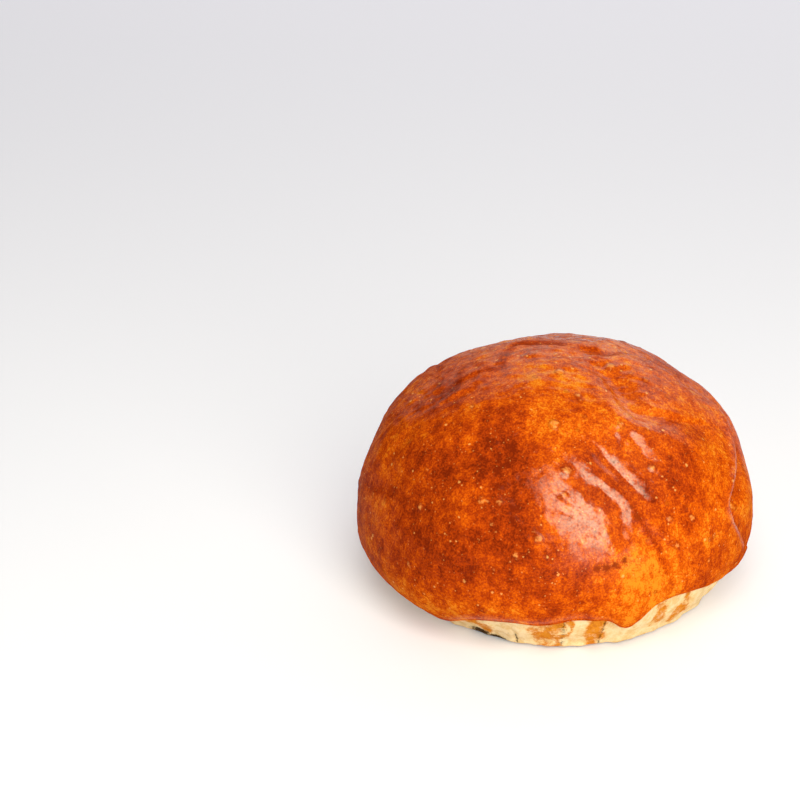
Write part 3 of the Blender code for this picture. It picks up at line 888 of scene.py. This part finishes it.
def bun_mesh(form):
    """The bun's closed mesh with its masks as attributes: a fan at each pole and rings of triangles."""
    azimuth, points, rows = profile_grid(form)
    blisters = raise_relief(form, points, rows)
    masks = surface_masks(form, azimuth, points, rows, blisters)
    steps = row_steps(form, points)
    rings = [row[::step] for row, step in zip(points, steps)]
    counts = [len(ring) for ring in rings]
    starts = np.cumsum([1] + counts)
    crown = rings[0].mean(axis=0, keepdims=True)
    vertices = fit_in_box(np.concatenate([crown] + rings + [np.zeros((1, 3))]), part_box("bun"))
    faces = [triangles((0, ring(1, counts[0]), ring(1, counts[0], 1)))]
    for row in range(len(rings) - 1):
        faces.append(ring_faces(starts[row], counts[row], starts[row + 1], counts[row + 1]))
    last, after = ring(starts[-2], counts[-1]), ring(starts[-2], counts[-1], 1)
    faces.append(triangles((last, len(vertices) - 1, after)))
    faces = np.concatenate(faces).astype(np.int32)
    mesh = bpy.data.meshes.new("bun_skin")
    mesh.vertices.add(len(vertices))
    mesh.vertices.foreach_set("co", vertices.astype(np.float32).ravel())
    mesh.loops.add(faces.size)
    mesh.loops.foreach_set("vertex_index", faces.ravel())
    mesh.polygons.add(len(faces))
    mesh.polygons.foreach_set("loop_start", np.arange(0, faces.size, 3, dtype=np.int32))
    mesh.update(calc_edges=True)
    mesh.validate()
    for name, mask in masks.items():
        values = np.concatenate([[mask[0].mean()]] + [row[::step] for row, step in zip(mask, steps)]
                                + [[mask[-1].mean()]])
        layer = mesh.attributes.new(name, "FLOAT", "POINT")
        layer.data.foreach_set("value", values.astype(np.float32))
    mesh.shade_smooth()
    return mesh


# ------------------------ material

# Patches of noise: (size, detail, roughness and, if drawn out along Z, by what factor), and the (lowest and
# highest noise that count, and what they become, which is 0 and 1 if it isn't given).
DUST = ((0.45 * MM, 1.0, 0.5), (0.3, 0.7, -0.10, 0.10))
GRAIN = ((0.9 * MM, 3.0, 0.6), (0.3, 0.7, -0.10, 0.10))
MOTTLES = ((2.8 * MM, 4.0, 0.6), (0.3, 0.7, -0.15, 0.15))
STREAKS = ((1.6 * MM, 3.0, 0.6, 3.0), (0.3, 0.7, -0.08, 0.08))
BLISTER_EDGES = ((0.8 * MM, 2.0, 0.5), (0.3, 0.7, -0.25, 0.25))
FOOT_MOTTLES = ((2.2 * MM, 5.0, 0.7), (0.38, 0.68, 0.0, 0.85))
DRIP_EDGES = ((3.5 * MM, 5.0, 0.75), (0.3, 0.7, -0.6, 0.3))
DRIP_SHADES = ((1.5 * MM, 4.0, 0.7), (0.3, 0.7, -0.3, 0.3))
UNDERSIDE_MOTTLES = ((4.0 * MM, 5.0, 0.6), (0.35, 0.7))
LIP_EDGES = ((1.2 * MM, 2.0, 0.5), (0.3, 0.7, -0.2, 0.2))
MARK_EDGES = ((0.7 * MM, 3.0, 0.7), (0.3, 0.7, -0.3, 0.3))
GLAZE_PATCHES = ((2.6 * MM, 4.0, 0.65), (0.32, 0.55, 0.5, 1.0))
GLAZE_GRAIN = ((0.55 * MM, 3.0, 0.7), (0.36, 0.5, 0.25, 1.0))
ROUGHNESS_PATCHES = ((1.8 * MM, 3.0, 0.6), (0.3, 0.7, 0.36, 0.52))
# Noises of the bumps: (size, detail, roughness).
SKIN_NOISE = (0.8 * MM, 4.0, 0.7)
GLAZE_NOISE = (0.5 * MM, 3.0, 0.7)
# Spots: (size of their cells, smallest and largest radius and soft edge as shares of it).
PORES = (1.7 * MM, -0.25, 0.22, 0.1)
GLAZE_PITS = (0.85 * MM, -0.25, 0.32, 0.12)
SPECKS = (
    ((2.6 * MM, -0.14, 0.20, 0.1), 1.0),
    ((1.4 * MM, -0.22, 0.24, 0.16), 1.0),
    ((0.9 * MM, -0.2, 0.3, 0.25), 0.6),
)
# How uneven the spots' outlines are: noise size as a share of the cell, its detail, and its fitted range.
SPOT_NOISE = (0.35, 1.0)
SPOT_RANGE = (0.3, 0.7, -0.06, 0.06)
# Ranges that a mask is fitted to, as for the patches. A blister has a ring of painted shade round its pale
# top.
SHADE_RING_OUTSIDE = (0.02, 0.2)
SHADE_RING_INSIDE = (0.3, 0.6, 0.35, 0.0)
BLISTER_TOP = (0.35, 0.95)
DRIP_COVER = (0.0, 0.9)
FOOT_COVER = (0.35, 0.6)
# Painted shade under the lip: a band of the lip's mask, darkened.
LIP_SHADE_OUTSIDE = (0.45, 0.58)
LIP_SHADE_INSIDE = (0.6, 0.78, 1.0, 0.0)
MARK_COVER = (0.15, 0.95, 0.0, 0.95)
# Shares of the effects.
PORE_DARKENING = 0.22
SPECK_SHARE = 0.62
BLISTER_SHARE = 0.5
LIP_SHADE_SHARE = 0.7
PIT_DULLING = 0.85
DRIP_GLOSS = 0.4
MARK_DULLING = 0.8
BARE_ROUGHNESS = 0.35
SPECK_BUMP = 0.5
PORE_BUMP = 2.0
SKIN_BUMP_SHARE = 0.5
SKIN_BUMP = 0.06 * MM
GLAZE_BUMP = 0.034 * MM
GLAZE_ROUGHNESS = 0.085
GLAZE_IOR = 1.75
# Where the crust's four colours lie from least to most baking, and the colours that aren't settings.
CRUST_PLACES = (0.06, 0.32, 0.62, 1.00)
DRIP_COLORS = (
    (0.10, (0.76, 0.50, 0.20)),
    (0.50, (0.70, 0.30, 0.06)),
    (0.85, (0.50, 0.14, 0.012)),
    (1.00, (0.62, 0.22, 0.02)),
)
FOOT_TAN = (0.64, 0.40, 0.16)
UNDERSIDE_BROWN = (0.30, 0.11, 0.03)
MARK_BLACK = (0.025, 0.008, 0.003)
# Colour sockets of a Mix node.
MIX_FIRST, MIX_SECOND, MIX_RESULT = 6, 7, 2


def opaque(color):
    """A colour with full alpha."""
    return (*color, 1.0)


class NodeMaker:
    """Adds and links shader nodes with short calls."""

    def __init__(self, material):
        material.use_nodes = True
        self.tree = material.node_tree
        self.shader = self.tree.nodes["Principled BSDF"]
        coordinates = self.tree.nodes.new("ShaderNodeTexCoord")
        self.place = coordinates.outputs["Object"]

    def plug(self, value, socket):
        """Links a socket, or sets a plain number or colour."""
        if isinstance(value, bpy.types.NodeSocket):
            self.tree.links.new(value, socket)
        else:
            socket.default_value = opaque(value) if socket.type == "RGBA" else value

    def node(self, kind, **inputs):
        """A new node whose inputs, by their names, are linked or set."""
        node = self.tree.nodes.new("ShaderNode" + kind)
        for name, value in inputs.items():
            self.plug(value, node.inputs[name])
        return node

    def attribute(self, name):
        """A mask of the mesh."""
        node = self.node("Attribute")
        node.attribute_name = name
        return node.outputs["Fac"]

    def noise(self, size, detail, roughness=0.5, upright=1.0):
        """Noise from 0 to 1 with lumps of about the given size, drawn out along Z by a factor."""
        place = self.node("Mapping", Vector=self.place, Scale=(1.0, 1.0, 1.0 / upright)).outputs["Vector"]
        noise = self.node("TexNoise", Vector=place, Scale=1.0 / size, Detail=detail, Roughness=roughness)
        return noise.outputs["Fac"]

    def patches(self, row):
        """Noise fitted to a range, from a row like those above."""
        noise, span = row
        return self.fit(self.noise(*noise), *span)

    def spots(self, size, smallest, largest, edge):
        """Uneven soft spots from 0 to 1, one in each cell at most.

        Each cell of the given size draws its radius between two shares of that size; below 0 it has none.
        """
        cells = self.node("TexVoronoi", Vector=self.place, Scale=1.0 / size)
        draw = self.node("SeparateColor", Color=cells.outputs["Color"]).outputs["Red"]
        radius = self.plus(self.times(draw, largest - smallest), smallest)
        uneven = self.patches(((SPOT_NOISE[0] * size, SPOT_NOISE[1]), SPOT_RANGE))
        depth = self.minus(self.plus(radius, uneven), cells.outputs["Distance"])
        return self.fit(depth, 0.0, edge)

    def math(self, operation, a, b, clamp=False):
        """One sum, product or other function of two numbers."""
        node = self.node("Math")
        node.operation = operation
        node.use_clamp = clamp
        self.plug(a, node.inputs[0])
        self.plug(b, node.inputs[1])
        return node.outputs[0]

    def plus(self, a, b):
        """Sum of two numbers."""
        return self.math("ADD", a, b)

    def minus(self, a, b):
        """The first number less the second."""
        return self.math("SUBTRACT", a, b)

    def times(self, a, b):
        """Product of two numbers."""
        return self.math("MULTIPLY", a, b)

    def larger(self, a, b):
        """The larger of two numbers."""
        return self.math("MAXIMUM", a, b)

    def without(self, mask, share=1.0):
        """What a share of a mask leaves of 1."""
        return self.minus(1.0, self.times(mask, share))

    def fit(self, value, low, high, to_low=0.0, to_high=1.0):
        """Maps a range of a number to another, clamped and smooth."""
        ends = {"From Min": low, "From Max": high, "To Min": to_low, "To Max": to_high}
        node = self.node("MapRange", Value=value, **ends)
        node.interpolation_type = "SMOOTHSTEP"
        return node.outputs["Result"]

    def mix(self, share, a, b):
        """Blend of two colours."""
        node = self.node("Mix", Factor=share)
        node.data_type = "RGBA"
        self.plug(a, node.inputs[MIX_FIRST])
        self.plug(b, node.inputs[MIX_SECOND])
        return node.outputs[MIX_RESULT]

    def ramp(self, value, stops):
        """Colour ramp through (place, colour) stops."""
        node = self.node("ValToRGB", Fac=value)
        elements = node.color_ramp.elements
        while len(elements) < len(stops):
            elements.new(0.5)
        for element, (place, color) in zip(elements, stops):
            element.position = place
            element.color = opaque(color)
        return node.outputs["Color"]

    def bump(self, height, distance):
        """Bump whose full height is the given distance."""
        return self.node("Bump", Height=height, Distance=distance).outputs["Normal"]


def crust_color(make, colors, specks, pores):
    """Browning and painted light in grain, mottles and streaks; pores, pale specks, pale blisters in painted
    shade rings.
    """
    bake_and_painted_light = make.attribute("bake_and_painted_light")
    for row in (DUST, GRAIN, MOTTLES, STREAKS):
        bake_and_painted_light = make.plus(bake_and_painted_light, make.patches(row))
    bake_and_painted_light = make.math("MAXIMUM", make.plus(bake_and_painted_light, pores), 0.0, clamp=True)
    glazes = (colors.golden_crust, colors.orange_crust, colors.brown_crust, colors.dark_crust)
    crust = make.ramp(bake_and_painted_light, tuple(zip(CRUST_PLACES, glazes)))
    blister = make.attribute("blister")
    # Painted shade: a dark ring round each blister's foot.
    ring = make.times(make.fit(blister, *SHADE_RING_OUTSIDE), make.fit(blister, *SHADE_RING_INSIDE))
    crust = make.mix(ring, crust, colors.dark_crust)
    tops = make.fit(make.plus(blister, make.patches(BLISTER_EDGES)), *BLISTER_TOP)
    pale = make.larger(make.times(specks, SPECK_SHARE), make.times(tops, BLISTER_SHARE))
    return make.mix(pale, crust, colors.speck)


def foot_color(make, colors, glazed):
    """Cream with tan mottles, browned where glaze ran down it, and baked brown underneath."""
    cream = make.mix(make.patches(FOOT_MOTTLES), colors.foot, FOOT_TAN)
    shade = make.plus(glazed, make.patches(DRIP_SHADES))
    cream = make.mix(glazed, cream, make.ramp(shade, DRIP_COLORS))
    under = make.mix(make.patches(UNDERSIDE_MOTTLES), colors.underside, UNDERSIDE_BROWN)
    return make.mix(make.attribute("base"), cream, under)


def bun_material(colors):
    """Glazed crust over a matt pale foot: masks and fine noise choose the browning, painted light and shade,
    gloss and grain.
    """
    material = bpy.data.materials.new("bun_crust")
    make = NodeMaker(material)
    shader = make.shader.inputs
    pores = make.times(make.spots(*PORES), PORE_DARKENING)
    specks = 0.0
    for spots, share in SPECKS:
        specks = make.larger(make.times(make.spots(*spots), share), specks)
    glazed = make.fit(make.plus(make.attribute("drip"), make.patches(DRIP_EDGES)), *DRIP_COVER)

    # Colour: the crust down to its ragged edge, a line of painted shade under the lip there, then the foot,
    # burnt spots on the crust and dark marks on the foot.
    lip = make.plus(make.attribute("foot"), make.patches(LIP_EDGES))
    on_foot = make.fit(lip, *FOOT_COVER)
    # Painted shade: a dark line on the lip's underside, where it overhangs the foot.
    lip_shade = make.times(make.fit(lip, *LIP_SHADE_OUTSIDE), make.fit(lip, *LIP_SHADE_INSIDE))
    color = make.mix(on_foot, crust_color(make, colors, specks, pores), foot_color(make, colors, glazed))
    color = make.mix(make.times(lip_shade, LIP_SHADE_SHARE), color, colors.brown_crust)
    marked = make.fit(make.plus(make.attribute("scorch"), make.patches(MARK_EDGES)), *MARK_COVER)
    scorch_and_mark_color = make.mix(on_foot, colors.scorch, MARK_BLACK)
    make.plug(make.mix(marked, color, scorch_and_mark_color), shader["Base Color"])

    # Gloss: a pitted glaze over the crust, a little where it ran down the foot, and none elsewhere.
    glaze = make.times(make.attribute("gloss"), make.patches(GLAZE_PATCHES))
    glaze = make.times(glaze, make.patches(GLAZE_GRAIN))
    glaze = make.times(glaze, make.without(make.spots(*GLAZE_PITS), PIT_DULLING))
    bare = make.times(on_foot, make.without(glazed, DRIP_GLOSS))
    bare = make.larger(bare, make.times(marked, MARK_DULLING))
    make.plug(make.times(glaze, make.without(bare)), shader["Coat Weight"])
    shader["Coat Roughness"].default_value = GLAZE_ROUGHNESS
    shader["Coat IOR"].default_value = GLAZE_IOR
    shader["Specular IOR Level"].default_value = 0.0
    rough = make.math("ADD", make.patches(ROUGHNESS_PATCHES), make.times(bare, BARE_ROUGHNESS), clamp=True)
    make.plug(rough, shader["Roughness"])

    # Fine grain: specks stand up, pores go down, and the glaze has a finer grain of its own.
    skin = make.plus(make.times(specks, SPECK_BUMP), make.noise(*SKIN_NOISE))
    skin = make.minus(skin, make.times(pores, PORE_BUMP))
    make.plug(make.bump(skin, SKIN_BUMP), shader["Normal"])
    top = make.plus(make.times(skin, SKIN_BUMP_SHARE), make.noise(*GLAZE_NOISE))
    make.plug(make.bump(top, GLAZE_BUMP), shader["Coat Normal"])
    return material


# ------------------------ stage

# The camera stands in front, a little to the left, and looks straight along +Y and down.
CAMERA_PLACE = (-40.0 * MM, -418.5 * MM, 235.1 * MM)
CAMERA_PITCH = math.radians(24.0)
CAMERA_LENS = 81.0
CAMERA_SENSOR = 36.0
CAMERA_CLIP = 10.0 * MM
FLOOR_HALF_SIDE = 4.0
FLOOR_DROP = 0.05 * MM
FLOOR_ROUGHNESS = 0.9
FLOOR_GLOW_COLOR = (0.76, 0.76, 0.76)
SURROUNDINGS = (1.0, 0.98, 0.95)
WARM = (1.0, 0.97, 0.84)
GOLDEN = (1.0, 0.98, 0.70)
# Lights in metres: name, shape, place, the point they face, size, colour, and how far they are rolled.
LIGHTS = (
    ("key", "ELLIPSE", (0.115, -0.545, 0.42), (0.0, 0.0, 0.03), (0.5, 1.1), GOLDEN, math.radians(22.0)),
    ("back", "RECTANGLE", (0.25, 0.92, 0.60), (0.0, 0.0, 0.05), (2.4, 1.0), WARM, 0.0),
    ("fill", "RECTANGLE", (0.0, -0.4, 1.7), (0.0, 0.0, 0.0), (2.0, 2.0), WARM, 0.0),
)
# Lights that the glaze doesn't mirror.
UNMIRRORED = ("fill",)


def area_light(power, name, shape, place, aim, size, color, roll):
    """A flat soft light at a place, turned to a point and rolled, unseen by the camera."""
    data = bpy.data.lights.new(name, "AREA")
    data.shape = shape
    data.size, data.size_y = size
    data.energy = power
    data.color = color
    light = bpy.data.objects.new(name, data)
    light.location = place
    turn = (Vector(aim) - Vector(place)).to_track_quat("-Z", "Y")
    light.rotation_euler = (turn @ Quaternion((0.0, 0.0, 1.0), roll)).to_euler()
    light.visible_camera = False
    light.visible_glossy = name not in UNMIRRORED
    bpy.context.scene.collection.objects.link(light)


def make_floor(look):
    """A wide plain floor just under the bun."""
    side = FLOOR_HALF_SIDE
    mesh = bpy.data.meshes.new("floor")
    corners = ((-side, -side), (side, -side), (side, side), (-side, side))
    mesh.from_pydata([(x, y, -FLOOR_DROP) for x, y in corners], [], [(0, 1, 2, 3)])
    material = bpy.data.materials.new("floor")
    material.use_nodes = True
    shader = material.node_tree.nodes["Principled BSDF"]
    shader.inputs["Base Color"].default_value = opaque(look.floor_color)
    shader.inputs["Roughness"].default_value = FLOOR_ROUGHNESS
    shader.inputs["Emission Color"].default_value = opaque(FLOOR_GLOW_COLOR)
    shader.inputs["Emission Strength"].default_value = look.floor_glow
    mesh.materials.append(material)
    floor = bpy.data.objects.new("floor", mesh)
    bpy.context.scene.collection.objects.link(floor)


def make_world(look):
    """Pale even surroundings."""
    world = bpy.data.worlds.new("surroundings")
    world.use_nodes = True
    background = world.node_tree.nodes["Background"]
    background.inputs["Color"].default_value = opaque(SURROUNDINGS)
    background.inputs["Strength"].default_value = look.world_strength
    bpy.context.scene.world = world


def make_camera():
    """The camera at the photograph's viewing angle."""
    data = bpy.data.cameras.new("camera")
    data.lens = CAMERA_LENS
    data.sensor_width = CAMERA_SENSOR
    data.clip_start = CAMERA_CLIP
    camera = bpy.data.objects.new("camera", data)
    camera.location = CAMERA_PLACE
    camera.rotation_euler = (math.pi / 2 - CAMERA_PITCH, 0.0, 0.0)
    bpy.context.scene.collection.objects.link(camera)
    bpy.context.scene.camera = camera


# ------------------------ operators and panel

class BUN_OT_make_bun(bpy.types.Operator):
    """Make the bun: its closed surface with relief, and its glazed crust material"""
    bl_idname = "bun.make_bun"
    bl_label = "Make Bun"

    def execute(self, context):
        mesh = bun_mesh(context.scene.bun_form)
        mesh.materials.append(bun_material(context.scene.bun_colors))
        bun = bpy.data.objects.new("bun_skin", mesh)
        context.scene.collection.objects.link(bun)
        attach(bun, "root")
        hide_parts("bun")
        return {"FINISHED"}


class BUN_OT_make_stage(bpy.types.Operator):
    """Make the floor, the lights, the surroundings and the camera"""
    bl_idname = "bun.make_stage"
    bl_label = "Make Stage"

    def execute(self, context):
        look = context.scene.bun_stage
        make_floor(look)
        make_world(look)
        make_camera()
        for power, light in zip((look.key_power, look.back_power, look.fill_power), LIGHTS):
            area_light(power, *light)
        context.scene.view_settings.view_transform = "Standard"
        return {"FINISHED"}


class BUN_PT_panel(bpy.types.Panel):
    """Lists the bun's sizes, colours and operators"""
    bl_idname = "BUN_PT_panel"
    bl_label = "Burger Bun"
    bl_space_type = "VIEW_3D"
    bl_region_type = "UI"
    bl_category = "Bun"

    def draw(self, context):
        scene = context.scene
        for settings, operator in ((scene.bun_form, None), (scene.bun_colors, BUN_OT_make_bun.bl_idname),
                                   (scene.bun_stage, BUN_OT_make_stage.bl_idname)):
            box = self.layout.box()
            for name in settings.__annotations__:
                box.prop(settings, name)
            if operator:
                box.operator(operator)


CLASSES = (BunForm, BunColors, StageLook, BUN_OT_make_bun, BUN_OT_make_stage, BUN_PT_panel)


def register():
    """Registers the classes and hangs the settings on the scene."""
    for cls in CLASSES:
        bpy.utils.register_class(cls)
    bpy.types.Scene.bun_form = bpy.props.PointerProperty(type=BunForm)
    bpy.types.Scene.bun_colors = bpy.props.PointerProperty(type=BunColors)
    bpy.types.Scene.bun_stage = bpy.props.PointerProperty(type=StageLook)


def unregister():
    """Takes the settings and the classes away again."""
    del bpy.types.Scene.bun_stage
    del bpy.types.Scene.bun_colors
    del bpy.types.Scene.bun_form
    for cls in reversed(CLASSES):
        bpy.utils.unregister_class(cls)


def main():
    """Makes the bun and its stage."""
    register()
    bpy.ops.bun.make_bun()
    bpy.ops.bun.make_stage()


if __name__ == "__main__":
    main()
